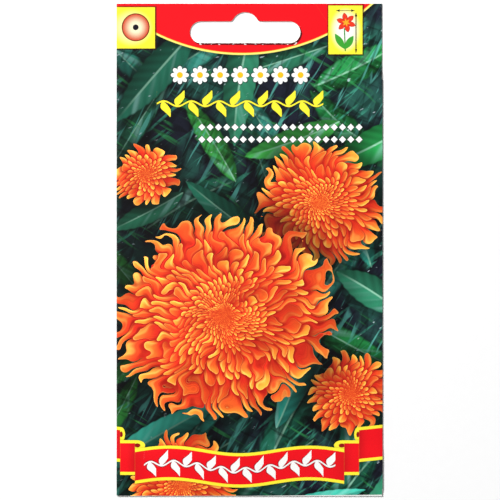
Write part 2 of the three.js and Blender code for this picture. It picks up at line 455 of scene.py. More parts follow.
@node_group([COLOUR] + [NUMBER] * 13, [COLOUR])
def blossom(behind, x, y, stray_x, stray_y, curl, middle_x, middle_y, turn, length, width, petals, growth, rings):
    """A full rosette over what is behind it: rings of petals that grow outward, each lying on the next one out."""
    x, y = seen_from(x, y, middle_x, middle_y, turn, length, width)
    x = x + (stray_x - 0.5) * 0.17
    y = y + (stray_y - 0.5) * 0.17
    radius = greatest(distance(x, y), 0.01)
    shaded = mixed(behind, BLACK, step_up(radius, 1.3, 0.85) * 0.8)
    reach = operate("LOGARITHM", radius, growth)
    turned = operate("ARCTAN2", y, x) / (2 * math.pi) * petals + (curl - 0.5) * 4.5 * radius
    ring = operate("CEIL", reach)
    over = petal_ring(turned, reach, ring - 1.0, petals)[0]
    mine, across, tone = petal_ring(turned, reach, ring, petals)
    below, across_below, tone_below = petal_ring(turned, reach, ring + 1.0, petals)
    lowest, across_lowest, tone_lowest = petal_ring(turned, reach, ring + 2.0, petals)
    second = under(mine, 0.0, 0.015)
    third = under(greatest(mine, below), 0.0, 0.015)
    across = chosen(chosen(across, across_below, second), across_lowest, third)
    tone = chosen(chosen(tone, tone_below, second), tone_lowest, third)
    tip = chosen(chosen(mine, below, second), lowest, third)
    gap = -chosen(chosen(over, greatest(over, mine), second), greatest(mine, below), third)

    petal = Canvas("#ffab38")
    petal.paint("#f7752a", step_up(tip, 0.05, 0.6))
    petal.paint("#f0481f", step_up(tone, 0.75, 0.1) * 0.7)
    petal.paint("#e02c1c", step_up(tip, 0.4, 1.3))
    petal.paint("#d42416", step_up(across, 0.0, 0.45) * 0.95)
    glint = step_up(absolute(across + 0.2), 0.18, 0.0) * step_up(tip, 1.3, 0.3)
    petal.paint("#ffc45a", glint * (tone * 0.6 + 0.3))
    petal.paint("#ffcc6b", step_up(tip, 0.1, 0.0) * 0.55)
    petal.paint("#a3120f", step_up(gap, 0.65, 0.05) * 0.9)
    petal.paint("#dc2f1a", step_up(curl + tone * 0.2, 0.6, 0.4) * 0.45)
    streaks = ripple(across * 14.0 + tone * 40.0, 2.0)
    light = tone * 0.5 + streaks * 0.5 + y * 0.08 - x * 0.05 + (stray_y - 0.5) * 0.7 + 0.72
    heart = step_up(reach, 2.5 - rings, -rings)
    colour = mixed(lit(petal.colour, light), "#e0451a", heart * 0.5)
    return [mixed(shaded, colour, step_up(ring + second + third, 0.6, 0.4))]


def paint_card(canvas, x, y, card, middle_colour, edge_colour):
    """A card that fades outward from one colour to another, on a dark shadow, wider below and at the right."""
    low_x, high_x, low_y, high_y = card
    shadow = between(x, low_x - 0.25, high_x + 0.45, 0.25) * between(y, low_y - 0.45, high_y + 0.3, 0.25)
    canvas.paint("#2a0b08", shadow * 0.85)
    inside = between(x, low_x, high_x, 0.03) * between(y, low_y, high_y, 0.03)
    out_x = absolute(x - (low_x + high_x) / 2) / ((high_x - low_x) / 2)
    out_y = absolute(y - (low_y + high_y) / 2) / ((high_y - low_y) / 2)
    fade = step_up(out_x * out_x + out_y * out_y, 0.0, 0.95)
    canvas.paint(mixed(middle_colour, edge_colour, fade), inside)


def paint_sun(canvas, x, y):
    """A sun sign: a full disc with a dot in its middle."""
    far = distance(x - SUN_MIDDLE[0], y - SUN_MIDDLE[1])
    canvas.paint("#6a2412", under(far, SUN_RADIUS, 0.04))
    disc = mixed("#fff8cf", "#d94a28", step_up(far, SUN_DOT, SUN_RADIUS))
    canvas.paint(disc, step_up(far, SUN_RADIUS - 0.24, SUN_RADIUS - 0.32))
    canvas.paint(INK, step_up(far, SUN_DOT, SUN_DOT - 0.1))


def paint_flower_sign(canvas, x, y):
    """A plain flower sign: a red star of six petals on a stem with two leaves, and two lines with arrow heads."""
    stem = between(x + (y - 62.0) * 0.04, 27.75, 28.1, 0.04) * between(y, 58.3, 65.0, 0.1)
    canvas.paint("#2f8d2e", stem)
    for turn, length in ((2.1, 5.4), (0.95, 4.7)):
        along, across = seen_from(x, y, *SIGN_LEAVES, turn, length, 1.0)
        edge = greatest(along * (1.0 - along), 0.0) * 3.8 - absolute(across - along * 0.25)
        canvas.paint("#3fa535", step_up(edge, -0.03, 0.05))
    across_x, across_y = x - SIGN_FLOWER[0], y - SIGN_FLOWER[1]
    far = distance(across_x, across_y)
    around = operate("ARCTAN2", across_y, across_x) / (2 * math.pi) * 6.0 - 0.2
    tip = 1.0 - absolute(around - floor(around) - 0.5) * 2.0
    outline = power(tip, 0.75) * 1.55 + 1.35 - far
    dark_red = "#a3160f"
    canvas.paint(dark_red, step_up(outline, -0.1, 0.0))
    petal = mixed("#ffb52a", "#ee3a22", step_up(far - tip * 0.7, 0.1, 0.7))
    petal = mixed(petal, dark_red, step_up(tip, 0.22, 0.0) * 0.6)
    canvas.paint(petal, step_up(outline, 0.06, 0.14))
    upright, level = (x, y, 31.2, 57.9, 69.5, 0.15), (y, x, 70.2, 25.4, 30.8, 0.08)
    for across, along, place, start, end, half in (upright, level):
        line = between(across, place - half, place + half, 0.04) * between(along, start, end, 0.04)
        inward = (end - start) / 2 - absolute(along - (start + end) / 2)
        head = under(absolute(across - place) * 2.6, inward, 0.05) * between(inward, 0.0, 1.0, 0.05)
        canvas.paint(INK, greatest(line, head))


def paint_header(canvas, x, y):
    """The red field above the arc, its yellow line, and the two cards with their signs."""
    far = distance(x - ARC_MIDDLE[0], y - ARC_MIDDLE[1])
    canvas.paint(BLACK, step_up(far, ARC_RADIUS + 1.6, ARC_RADIUS) * 0.45)
    canvas.paint("#fff47a", under(far, ARC_RADIUS, 0.05))
    canvas.paint(ORANGE, step_up(far, ARC_RADIUS - ARC_LINE * 0.7, ARC_RADIUS - ARC_LINE))
    canvas.paint(RED, step_up(far, ARC_RADIUS - ARC_LINE, ARC_RADIUS - ARC_LINE - 0.12))
    paint_card(canvas, x, y, SUN_CARD, "#fffcb8", YELLOW)
    paint_sun(canvas, x, y)
    paint_card(canvas, x, y, FLOWER_CARD, WHITE, YELLOW)
    paint_flower_sign(canvas, x, y)


def slot_depth(x, y):
    """How far inside the hang slot's outline a point lies, in millimetres."""
    low = TOP - SLOT_BELOW_TOP
    end = SLOT_HEIGHT / 2
    x = x - SLOT_OFFSET
    past = greatest(absolute(x) - (SLOT_WIDTH / 2 - end), 0.0)
    bar = end - distance(past, y - (low + end))
    bump = BUMP_RADIUS - distance(x, y - (low + SLOT_HEIGHT + BUMP_RISE - BUMP_RADIUS))
    return greatest(bar, bump)


def paint_slot_shadow_and_fibres(canvas, plane):
    """A painted shadow along the slot's lower and right rim, as a dark line on the paper, with white flecks of torn
    fibres.
    """
    ragged = (plane.noise((1.2, 1.2)) - 0.5) * 0.3
    depth = slot_depth(plane.x - SLOT_SHADOW_SHIFT[0], plane.y - SLOT_SHADOW_SHIFT[1]) + ragged
    # painted shadow: a dark line inside the slot's lower and right rim, where the shifted slot outline lies
    canvas.paint("#2c0a0e", step_up(depth, -0.12, 0.1) * 0.92)
    below = TOP - SLOT_BELOW_TOP - plane.y
    fleck = step_up(plane.noise((1.0, 0.8), offset=9, detail=1), 0.63, 0.71) * between(below, -0.3, 0.45, 0.1)
    canvas.paint(WHITE, fleck * step_up(depth, -0.3, 0.0) * 0.85)


def paint_row(canvas, x, first, last, outline, colour, rim, shade):
    """Paints a row of shapes, from how far inside their outlines a point lies, with a soft dark rim."""
    row = between(x, first, last, 0.02)
    canvas.paint(INK, step_up(outline, -rim, 0.05) * row * shade)
    canvas.paint(colour, step_up(outline, 0.0, 0.08) * row)
    return row


def paint_flower_row(canvas, x, y):
    """A row of white flowers with yellow middles."""
    pitch, height, first, last = 5.9, 51.3, -23.4, 17.9
    along = (x - first) / pitch
    across_x = (along - floor(along) - 0.5) * pitch
    across_y = y - height
    far = distance(across_x, across_y)
    wave = absolute(operate("COSINE", operate("ARCTAN2", across_y, across_x) * 4.0))
    outline = power(wave, 0.6) * 1.15 + 1.55 - far
    row = paint_row(canvas, x, first, last, outline, WHITE, 0.5, 0.8)
    canvas.paint("#f9c51f", step_up(far, 0.95, 0.82) * row)


def paint_lozenges(canvas, x, y, height):
    """A row of small white lozenges."""
    pitch, size, first, last = 2.425, 1.05, -15.2, 33.3
    along = (x - first) / pitch
    outline = size - absolute(along - floor(along) - 0.5) * pitch - absolute(y - height)
    paint_row(canvas, x, first, last, outline, WHITE, 0.4, 0.8)


def paint_garland(canvas, x, y, height, first, last, pitch, colour, size):
    """A stem that waves along a line, with a leaf above and below it by turns."""
    along = (x - first) / pitch
    index = floor(along)
    upper = operate("FLOORED_MODULO", index, 2.0) * 2.0 - 1.0
    inside = (along - index) * pitch - pitch * 0.1
    wave = operate("SINE", along * math.pi) * 0.5 * size
    rise = (y - height - wave) * upper
    lean = inside - rise * 0.55
    reach = 2.7 * size
    blade = rise * (reach - rise) * (1.5 / reach) - absolute(lean - pitch * 0.3)
    outline = greatest(blade, 0.2 * size - absolute(y - height - wave))
    paint_row(canvas, x, first, last, outline, colour, 0.42, 0.75)


def paint_ribbon(canvas, away, stretch, light):
    """A stretch of ribbon: red with yellow edges, over its own shadow. It is dark where light is 0."""
    canvas.paint(BLACK, step_up(away, BANNER_HALF + 0.7, BANNER_HALF - 0.6) * stretch * 0.5)
    canvas.paint(YELLOW, under(away, BANNER_HALF, 0.04) * stretch)
    canvas.paint(mixed("#b80f16", RED, light), under(away, BANNER_HALF - BANNER_EDGE, 0.05) * stretch)


def paint_roll(canvas, out, y, fold, middle_y, reach, half):
    """Where the ribbon rolls over at a fold: its yellow edge round its dark inside."""
    far = distance((out - (fold - reach * 0.3)) / reach, (y - middle_y) / half)
    inside = under(out, fold, 0.04)
    canvas.paint(YELLOW, under(far, 1.0, 0.03) * inside)
    canvas.paint("#8f0d12", under(far, 0.4, 0.05) * inside)


def paint_banner(canvas, x, y):
    """A waving red ribbon with yellow edges and a white garland, folded twice at each end."""
    middle_x, middle_y = BANNER_MIDDLE
    out = absolute(x - middle_x)

    away = absolute(y - TAIL_LEVEL - (out - SECOND_FOLD) * 0.1)
    light = step_up(out, SECOND_FOLD - 2.0, SECOND_FOLD + 3.0)
    paint_ribbon(canvas, away, step_up(out, SECOND_FOLD - 0.3, SECOND_FOLD - 0.2), light)
    paint_roll(canvas, out, y, SECOND_FOLD, *SECOND_ROLL)

    away = absolute(y - FOLDED_LEVEL)
    light = step_up(out, FIRST_FOLD - 2.0, FIRST_FOLD + 3.0)
    paint_ribbon(canvas, away, between(out, FIRST_FOLD - 1.0, SECOND_FOLD, 0.04), light)
    paint_roll(canvas, out, y, FIRST_FOLD, *FIRST_ROLL)

    waving = y + operate("COSINE", out * (2 * math.pi / BANNER_WAVELENGTH)) * BANNER_WAVE
    light = step_up(out, FIRST_FOLD + 8.0, FIRST_FOLD - 6.0)
    paint_ribbon(canvas, absolute(waving - middle_y), under(out, FIRST_FOLD, 0.04), light)
    paint_garland(canvas, x, waving, middle_y, -30.9, 25.1, 3.5, WHITE, 1.45)


def front_print(plane):
    """The picture side of the print."""
    x, y = plane.x, plane.y
    canvas = Canvas("#171a28")
    paint_foliage(canvas, plane)
    canvas.colour = lit(canvas.colour, x * 0.012 + 1.08)
    stray = [plane.noise((size, size), offset=offset, detail=1) for size, offset in ((8, 0), (8, 40), (9, 80))]
    for values in BLOSSOMS:
        canvas.colour = blossom(canvas.colour, x, y, *stray, *values)[0]
    paint_flower_row(canvas, x, y)
    paint_garland(canvas, x, y, 42.9, -27.2, 21.6, 4.07, YELLOW, 1.5)
    for height in (36.0, 32.4):
        paint_lozenges(canvas, x, y, height)
    paint_banner(canvas, x, y)
    paint_header(canvas, x, y)
    paint_slot_shadow_and_fibres(canvas, plane)
    # a white strip along the bottom edge, wider to the right
    white_strip_top = greatest(x, 0.0) * 0.008 + (BOTTOM + 0.2)
    canvas.paint(WHITE, under(y, white_strip_top, 0.05))
    return canvas.colour


def within_frame(x, y, inset):
    """1 inside the back panel's frame, whose line lies so far in from the panel's sides."""
    low, high = BOTTOM_FLAP_EDGE - 0.4 + inset, POCKET_TOP + 0.4 - inset
    return between(x, LEFT + inset, RIGHT - inset, 0.03) * between(y, low, high, 0.03)


def back_print(x, y):
    """The back's print: a red header, a frame, a blossom, a strip of twelve months and lines to write on."""
    canvas = Canvas("#fbf6e4")
    canvas.paint(RED, step_up(y, POCKET_TOP + 1.2, POCKET_TOP + 1.3))
    canvas.paint(YELLOW, between(y, POCKET_TOP + 0.6, POCKET_TOP + 1.3, 0.03))
    canvas.paint(GREEN, within_frame(x, y, 3.4) - within_frame(x, y, 3.8))
    month = (x + BACK_HALF) / MONTH
    index = floor(month)
    strip = mixed("#e6edc8", "#7fbf4d", between(index, *SOWING, 0.01))
    strip = mixed(strip, ORANGE, between(index, *FLOWERING, 0.01))
    strip = mixed(strip, GREEN, step_up(absolute(month - index - 0.5), 0.46, 0.475))
    canvas.paint(strip, between(x, -BACK_HALF, BACK_HALF, 0.02) * between(y, *STRIP, 0.03))
    for turn in (0.25, math.pi - 0.25):
        canvas.colour = leaf(canvas.colour, x, y, 0.0, 42.0, turn, 24.0, 3.4, 0.5, "#2c9150", 0.08)[0]
    still = [0.5, 0.5, 0.5]
    canvas.colour = blossom(canvas.colour, x, y, *still, 0.0, 42.5, 0.0, 7.6, 7.2, 21.0, 1.4, 6.0)[0]
    line = (y + 52.0) / LINE_PITCH
    lines = step_up(absolute(line - operate("ROUND", line)), 0.022, 0.012)
    canvas.paint("#9aa58c", lines * between(x, -BACK_HALF, BACK_HALF, 0.05) * between(y, *LINES, 0.05))
    return canvas.colour


def surface(name, build):
    """A material whose nodes are made by a function that is given its main shader."""
    material = bpy.data.materials.new(name)
    material.use_nodes = True
    Field.tree = material.node_tree
    build(material.node_tree.nodes["Principled BSDF"])
    return material


def bump(shader, height, strength, reach):
    """Gives a surface fine relief, so many millimetres deep."""
    normal = fed(new_node("ShaderNodeBump"), Strength=strength, Distance=reach * MM, Height=height)
    feed(shader.inputs["Normal"], normal)


def object_point():
    """A point's place in the object, in millimetres."""
    return mapped(Field(new_node("ShaderNodeTexCoord").outputs["Object"]), Scale=(MM, MM, MM))


def blank_plane():
    """A point's place on the flat blank, in millimetres from the front panel's middle."""
    place = fed(new_node("ShaderNodeUVMap", uv_map=PRINT_MAP))
    return Plane(mapped(place, Location=(0.5, 0.5, 0), Scale=(1 / PRINT_SPAN, 1 / PRINT_SPAN, 1)))


def finish_coated(shader, canvas, plane):
    """Wears a print pale along the folds, and gives it a fine mottle and the coated paper's sheen and grain."""
    grain = noise(object_point(), 5.0, detail=3)
    wear = noise(object_point(), 1.6, detail=3)
    fold = operate("MINIMUM", absolute(absolute(plane.x) - RIGHT), absolute(plane.y - BOTTOM))
    canvas.colour = lit(canvas.colour, grain * 0.3 + 0.85)
    canvas.paint(WHITE, step_up(fold + wear * 0.6, 0.34, 0.2) * 0.35)
    feed(shader.inputs["Base Color"], canvas.colour)
    feed(shader.inputs["Roughness"], grain * 0.16 + 0.36)
    shader.inputs["Specular IOR Level"].default_value = 0.15
    bump(shader, grain, 0.12, 0.02)


def build_front_paper(shader):
    """Coated paper with the picture on it, and plain beyond the folds."""
    plane = blank_plane()
    canvas = Canvas(front_print(plane))
    canvas.paint(CREAM, step_up(plane.y, BOTTOM - 0.3, BOTTOM - 0.4))
    canvas.paint(CREAM, step_up(plane.x, RIGHT + 0.3, RIGHT + 0.4))
    finish_coated(shader, canvas, plane)


def build_back_paper(shader):
    """Coated paper with the back panel's print, which is placed as seen from behind."""
    plane = blank_plane()
    back_x = plane.x + (PANEL_RIGHT - PANEL_LEFT + math.pi * (SIDE_FOLD - PAPER / 2))
    finish_coated(shader, Canvas(back_print(back_x, plane.y)), plane)


def finish_grainy(shader, dark, pale, grain, smoothest, roughest, relief, depth):
    """Mixes two colours by a grain, which also gives the surface its roughness and its relief."""
    feed(shader.inputs["Base Color"], mixed(dark, pale, grain))
    feed(shader.inputs["Roughness"], grain * (roughest - smoothest) + smoothest)
    bump(shader, grain, relief, depth)


def build_bare_paper(shader):
    """The sheet's unprinted side and its cut edges: soft white, with fibres."""
    fibres = noise(object_point(), 3.2, detail=4, roughness=0.65)
    finish_grainy(shader, "#efe9dc", "#fcfaf4", fibres, 0.72, 0.87, 0.3, 0.03)
    shader.inputs["Specular IOR Level"].default_value = 0.25


def build_glue(shader):
    """A dried film of pale glue, cloudy and a little uneven."""
    finish_grainy(shader, "#ded5bb", "#f4efe0", noise(object_point(), 0.35, 3), 0.35, 0.65, 0.2, 0.02)


def build_seed_coat(shader):
    """The dark ribbed fruit."""
    finish_grainy(shader, "#100d0c", "#38302a", noise(object_point(), 4.0, 4), 0.5, 0.7, 0.35, 0.03)


def build_seed_scales(shader):
    """The straw-coloured scales at a seed's upper end."""
    finish_grainy(shader, "#c9a66b", "#efe0bb", noise(object_point(), 5.0, 3), 0.55, 0.75, 0.3, 0.02)


# ---- the folded sheet


def smooth(value, low, high):
    """0 where value is low, 1 where it is high, and smooth between them."""
    share = np.clip((value - low) / (high - low), 0, 1)
    return share * share * (3 - 2 * share)


def back_level(y):
    """The height of the back panel's outer face, which lies on the bottom flap and drapes down from it."""
    return LAYER * (1 - smooth(y, BOTTOM_FLAP_EDGE, BOTTOM_FLAP_EDGE + DRAPE))


def pocket_rise(x, y):
    """How much the seeds raise the front panel: most at a third of the pocket's height."""
    across = x / RIGHT
    up = np.clip((y - BOTTOM) / (POCKET_TOP - BOTTOM), 0, 1)
    profile = (27 / 4) * up * (1 - up) ** 2
    return POCKET_RISE * (1 - across**2) * profile


def rise_over_flap(x, y):
    """How much the side flap raises the front panel."""
    across = smooth(x, FLAP_EDGE - 2 * DRAPE, FLAP_EDGE)
    up = smooth(y, PANEL_BOTTOM, FLAP_LOW) * (1 - smooth(y, FLAP_HIGH, POCKET_TOP))
    return LAYER * across * up


def buckles(x, y):
    """Shallow waves and creases of handled paper. They lower the front panel only, and fade out at its edges."""
    fade = np.clip(pocket_rise(x, y) / (0.45 * POCKET_RISE), 0, 1)
    waves = 0.5 + 0.25 * np.sin(0.13 * x + 0.071 * y + 1.0) + 0.25 * np.sin(0.09 * x - 0.157 * y + 2.2)
    crease = np.exp(-(((y - 30 + 0.22 * x + 1.5 * np.sin(0.15 * x)) / 1.6) ** 2)) * smooth(x, -34, 4)
    return -fade * (WAVE_DEPTH * waves + CREASE_DEPTH * crease)


def front_level(x, y):
    """The height of the front panel's inner face."""
    return back_level(y) + LAYER + pocket_rise(x, y) + rise_over_flap(x, y) + buckles(x, y)


def spaced(stops, longest):
    """Values from each stop to the next, in even steps that are no longer than the longest one allowed."""
    values = [stops[0]]
    for start, end in zip(stops, stops[1:]):
        count = math.ceil(abs(end - start) / longest - 1e-6)
        values += [start + (end - start) * k / count for k in range(1, count + 1)]
    return values


def level_faces(x, y, level, printed_side_up):
    """The points of the paper's outer and inner face where it lies flat."""
    faces = [(x, y, level), (x, y, level + PAPER)]
    return faces[::-1] if printed_side_up else faces


def fold_faces(centre, direction, radius):
    """The points of the paper's outer and inner face in a round fold."""
    return [tuple(np.array(centre) + np.array(direction) * reach) for reach in (radius, radius - PAPER)]


def blank_columns():
    """The blank's columns, from the side flap's free edge to the back panel's, each with its place u on the blank."""
    mid_fold = SIDE_FOLD - PAPER / 2
    right_centre = lambda y: (PANEL_RIGHT, y, back_level(y) + LAYER + SIDE_FOLD)
    left_centre = lambda y: (PANEL_LEFT, y, back_level(y) + SIDE_FOLD)
    columns = []

    def add(region, u, faces, **more):
        columns.append({"region": region, "u": u, "faces": faces, **more})

    def add_fold(region, u, angle, centre_at):
        direction = (math.cos(angle), 0, math.sin(angle))
        add(region, u, lambda y: fold_faces(centre_at(y), direction, SIDE_FOLD))

    for x in spaced([FLAP_EDGE, PANEL_RIGHT], GRID_STEP)[:-1]:
        u = PANEL_RIGHT + math.pi * mid_fold + (PANEL_RIGHT - x)
        add("side flap", u, lambda y, x=x: level_faces(x, y, back_level(y) + LAYER, False))
    for turn in spaced([-math.pi / 2, math.pi / 2], math.pi / FOLD_CELLS)[:-1]:
        add_fold("side flap", PANEL_RIGHT + mid_fold * (math.pi / 2 - turn), turn, right_centre)
    for x in spaced([PANEL_RIGHT, FLAP_EDGE, PANEL_LEFT], GRID_STEP):
        add("front", x, lambda y, x=x: level_faces(x, y, front_level(x, y), True), x=x)
    for turn in spaced([math.pi / 2, math.pi * 1.5], math.pi / FOLD_CELLS)[1:]:
        add_fold("back", PANEL_LEFT - mid_fold * (turn - math.pi / 2), turn, left_centre)
    for x in spaced([PANEL_LEFT, PANEL_RIGHT], 2 * GRID_STEP)[1:]:
        u = PANEL_LEFT - math.pi * mid_fold - (x - PANEL_LEFT)
        add("back", u, lambda y, x=x: level_faces(x, y, back_level(y), False))
    return columns


def blank_rows():
    """The blank's rows, from the bottom flap's free edge to the top, each with its place v on the blank."""
    mid_fold = BOTTOM_FOLD - PAPER / 2
    taper = (PANEL_RIGHT - BOTTOM_FLAP_BEVEL) / PANEL_RIGHT
    rows = []
    for y in spaced([BOTTOM_FLAP_EDGE, PANEL_BOTTOM], GRID_STEP)[:-1]:
        narrow = 1 + (taper - 1) * (y - PANEL_BOTTOM) / (BOTTOM_FLAP_EDGE - PANEL_BOTTOM)
        faces = lambda x, y=y, narrow=narrow: level_faces(x * narrow, y, 0.0, False)
        rows.append({"v": PANEL_BOTTOM - math.pi * mid_fold - (y - PANEL_BOTTOM), "faces": faces})
    for turn in spaced([-math.pi / 2, math.pi / 2], math.pi / FOLD_CELLS)[:-1]:
        direction = (0, -math.cos(turn), math.sin(turn))
        faces = lambda x, d=direction: fold_faces((x, PANEL_BOTTOM, BOTTOM_FOLD), d, BOTTOM_FOLD)
        rows.append({"v": PANEL_BOTTOM - mid_fold * (math.pi / 2 - turn), "faces": faces})
    drape_end = BOTTOM_FLAP_EDGE + DRAPE
    stops = [PANEL_BOTTOM, FLAP_LOW, BOTTOM_FLAP_EDGE, drape_end, FLAP_HIGH, POCKET_TOP]
    heights = spaced(stops, GRID_STEP) + spaced([POCKET_TOP, TOP], 2 * GRID_STEP)[1:]
    return rows + [{"v": y, "y": y} for y in heights]


def is_paper(columns, rows, i, j):
    """Whether the cell between column i, row j and the next ones is paper."""
    if min(i, j) < 0 or i + 1 >= len(columns) or j + 1 >= len(rows):
        return False
    regions = {columns[i]["region"], columns[i + 1]["region"]}
    if "y" not in rows[j]:
        return regions == {"front"}
    if "side flap" not in regions:
        return True
    return rows[j]["y"] >= FLAP_LOW - 1e-6 and rows[j + 1]["y"] <= FLAP_HIGH + 1e-6


def folded_blank(materials):
    """The folded sheet before its slot is punched, as a closed mesh with its two maps."""
    columns, rows = blank_columns(), blank_rows()
    points, places, numbers = [], [], {}
    back_width = BACK_SQUEEZE * (LEFT - columns[-1]["u"])
    bare_width = BARE_SQUEEZE * (columns[0]["u"] - columns[-1]["u"])
    low_v = rows[0]["v"]

    def bake_place(u, v, bare):
        """A point's place on the bake's map: the bare side in the corner, then the back, then the front."""
        if bare:
            return BARE_SQUEEZE * (u - columns[-1]["u"]), BARE_SQUEEZE * (v - low_v)
        squeeze = BACK_SQUEEZE if u < LEFT else 1.0
        return bare_width + 2 * BAKE_MARGIN + back_width + squeeze * (u - LEFT), v - low_v

    def corner(i, j, side):
        if (i, j, side) not in numbers:
            column, row = columns[i], rows[j]
            faces = column["faces"](row["y"]) if "y" in row else row["faces"](column["x"])
            numbers[i, j, side] = len(points)
            points.append(tuple(np.array(faces[side]) * MM))
            places.append((column["u"], row["v"]))
        return numbers[i, j, side]

    faces, slots = [], []
    outside, inside = 0, 1
    for i in range(len(columns)):
        printed = BACK_SLOT if i + 1 < len(columns) and columns[i + 1]["u"] < LEFT - 0.2 else FRONT_SLOT
        for j in range(len(rows)):
            if not is_paper(columns, rows, i, j):
                continue
            ring = [(i, j), (i, j + 1), (i + 1, j + 1), (i + 1, j)]
            faces.append([corner(*spot, outside) for spot in ring])
            faces.append([corner(*spot, inside) for spot in reversed(ring)])
            slots += [printed, BARE_SLOT]
            beyond = [(i - 1, j), (i, j + 1), (i + 1, j), (i, j - 1)]
            for p, q, cell in zip(ring, ring[1:] + ring[:1], beyond):
                if not is_paper(columns, rows, *cell):
                    faces.append([corner(*q, outside), corner(*p, outside), corner(*p, inside), corner(*q, inside)])
                    slots.append(BARE_SLOT)
    mesh = bpy.data.meshes.new("folded_sheet")
    mesh.from_pydata(points, [], faces)
    for material in materials:
        mesh.materials.append(material)
    mesh.polygons.foreach_set("material_index", slots)
    spots = [places[number] for face in faces for number in face]
    bare = [slot == BARE_SLOT for face, slot in zip(faces, slots) for _ in face]
    on_print = [(u / PRINT_SPAN + 0.5, v / PRINT_SPAN + 0.5) for u, v in spots]
    on_bake = [bake_place(*spot, is_bare) for spot, is_bare in zip(spots, bare)]
    on_bake = [((x + BAKE_MARGIN) / BAKE_SPAN, (y + BAKE_MARGIN) / BAKE_SPAN) for x, y in on_bake]
    for name, values in ((PRINT_MAP, on_print), (BAKE_MAP, on_bake)):
        mesh.uv_layers.new(name=name).uv.foreach_set("vector", np.array(values, np.float32).ravel())
    return mesh


def arc(centre, radius, start, end, count):
    """So many points along an arc, from one angle to another."""
    turns = np.linspace(start, end, count)
    return [(centre[0] + radius * math.cos(t), centre[1] + radius * math.sin(t)) for t in turns]


def slot_outline():
    """The outline of the solids' slot, with a burr of torn fibres along its lower edge."""
    low = TOP - SLOT_BELOW_TOP
    high = low + SLOT_HEIGHT
    end = SLOT_HEIGHT / 2
    side = SLOT_WIDTH / 2 - end
    bump_centre = high + BUMP_RISE - BUMP_RADIUS
    reach = BUMP_RADIUS + BUMP_FILLET
    lean = math.asin((high + BUMP_FILLET - bump_centre) / reach)
    fillet_x = reach * math.cos(lean)
    quarter = math.pi / 2
    draw = random.Random(BURR_SEED)
    points = []
    for x in np.linspace(-side, side, 120)[1:-1]:
        wave = BURR_DEPTH * math.sin(2.1 * x) * math.sin(0.7 * x + 1)
        points.append((x, low + wave + max(0.0, draw.gauss(0, BURR_DEPTH))))
    round_points, fillet_points = 24, 10
    points += arc((side, low + end), end, -quarter, quarter, round_points)
    points += arc((fillet_x, high + BUMP_FILLET), BUMP_FILLET, -quarter, lean - math.pi, fillet_points)
    points += arc((0, bump_centre), BUMP_RADIUS, lean, math.pi - lean, round_points)[1:-1]
    points += arc((-fillet_x, high + BUMP_FILLET), BUMP_FILLET, -lean, -quarter, fillet_points)
    points += arc((-side, low + end), end, quarter, 3 * quarter, round_points)
    return [(x + SLOT_OFFSET, y) for x, y in points]


def punch_mesh():
    """A prism on the slot's outline that reaches past both sides of the packet."""
    outline = slot_outline()
    count = len(outline)
    low, high = -1.0, 1.5
    points = [(x * MM, y * MM, z * MM) for z in (low, high) for x, y in outline]
    faces = [list(range(count))[::-1], list(range(count, 2 * count))]
    for k in range(count):
        after = (k + 1) % count
        faces.append([k, after, count + after, count + k])
    mesh = bpy.data.meshes.new("punch")
    mesh.from_pydata(points, [], faces)
    return mesh


def new_object(name, data):
    thing = bpy.data.objects.new(name, data)
    bpy.context.scene.collection.objects.link(thing)
    return thing


def make_sheet(materials):
    """Punches the slot through the folded blank."""
    sheet = new_object("folded_sheet", folded_blank(materials))
    punch = new_object("punch", punch_mesh())
    punch.data.materials.append(materials[BARE_SLOT])
    cut = sheet.modifiers.new("slot", "BOOLEAN")
    cut.operation = "DIFFERENCE"
    cut.solver = "MANIFOLD"
    cut.object = punch
    bpy.context.view_layer.update()
    evaluated = sheet.evaluated_get(bpy.context.evaluated_depsgraph_get())
    mesh = bpy.data.meshes.new_from_object(evaluated)
    sheet.modifiers.clear()
    sheet.data = mesh
    bpy.data.objects.remove(punch)
    mesh.shade_smooth()
    mesh.set_sharp_from_angle(angle=math.radians(50))
    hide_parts("paper_sheet")
    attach(sheet, "root")


# ---- the seeds


def seed_template():
    """One seed along +X from 0 to 1, with radius 1: points, faces, and a material slot for each face."""
    around, rings, ribs, scales = 20, 14, 5, 6
    coat_end = 0.64
    points, faces = [(0, 0, 0)], []
    for k in range(1, rings + 1):
        along = k / rings
        radius = 0.34 + 0.46 * math.sin(math.pi * (0.08 + 0.62 * along)) if k < rings else 0.5
        radius *= min(1.0, 3.2 * along)
        for m in range(around):
            turn = 2 * math.pi * m / around
            rib = 1 + 0.07 * math.cos(ribs * turn)
            points.append((coat_end * along, radius * rib * math.cos(turn), radius * rib * math.sin(turn)))
    for m in range(around):
        after = (m + 1) % around
        faces.append([0, 1 + after, 1 + m])
        for k in range(rings - 1):
            a, b = 1 + k * around, 1 + (k + 1) * around
            faces.append([a + m, a + after, b + after, b + m])
    faces.append([1 + (rings - 1) * around + m for m in range(around)])
    slots = [0] * len(faces)
    for k in range(scales):
        length = 1.0 if k % 2 == 0 else 0.93
        blade_points, blade_faces = scale_blade(2 * math.pi * k / scales, coat_end - 0.02, length)
        faces += [[len(points) + n for n in face] for face in blade_faces]
        points += blade_points
        slots += [1] * len(blade_faces)
    return points, faces, slots


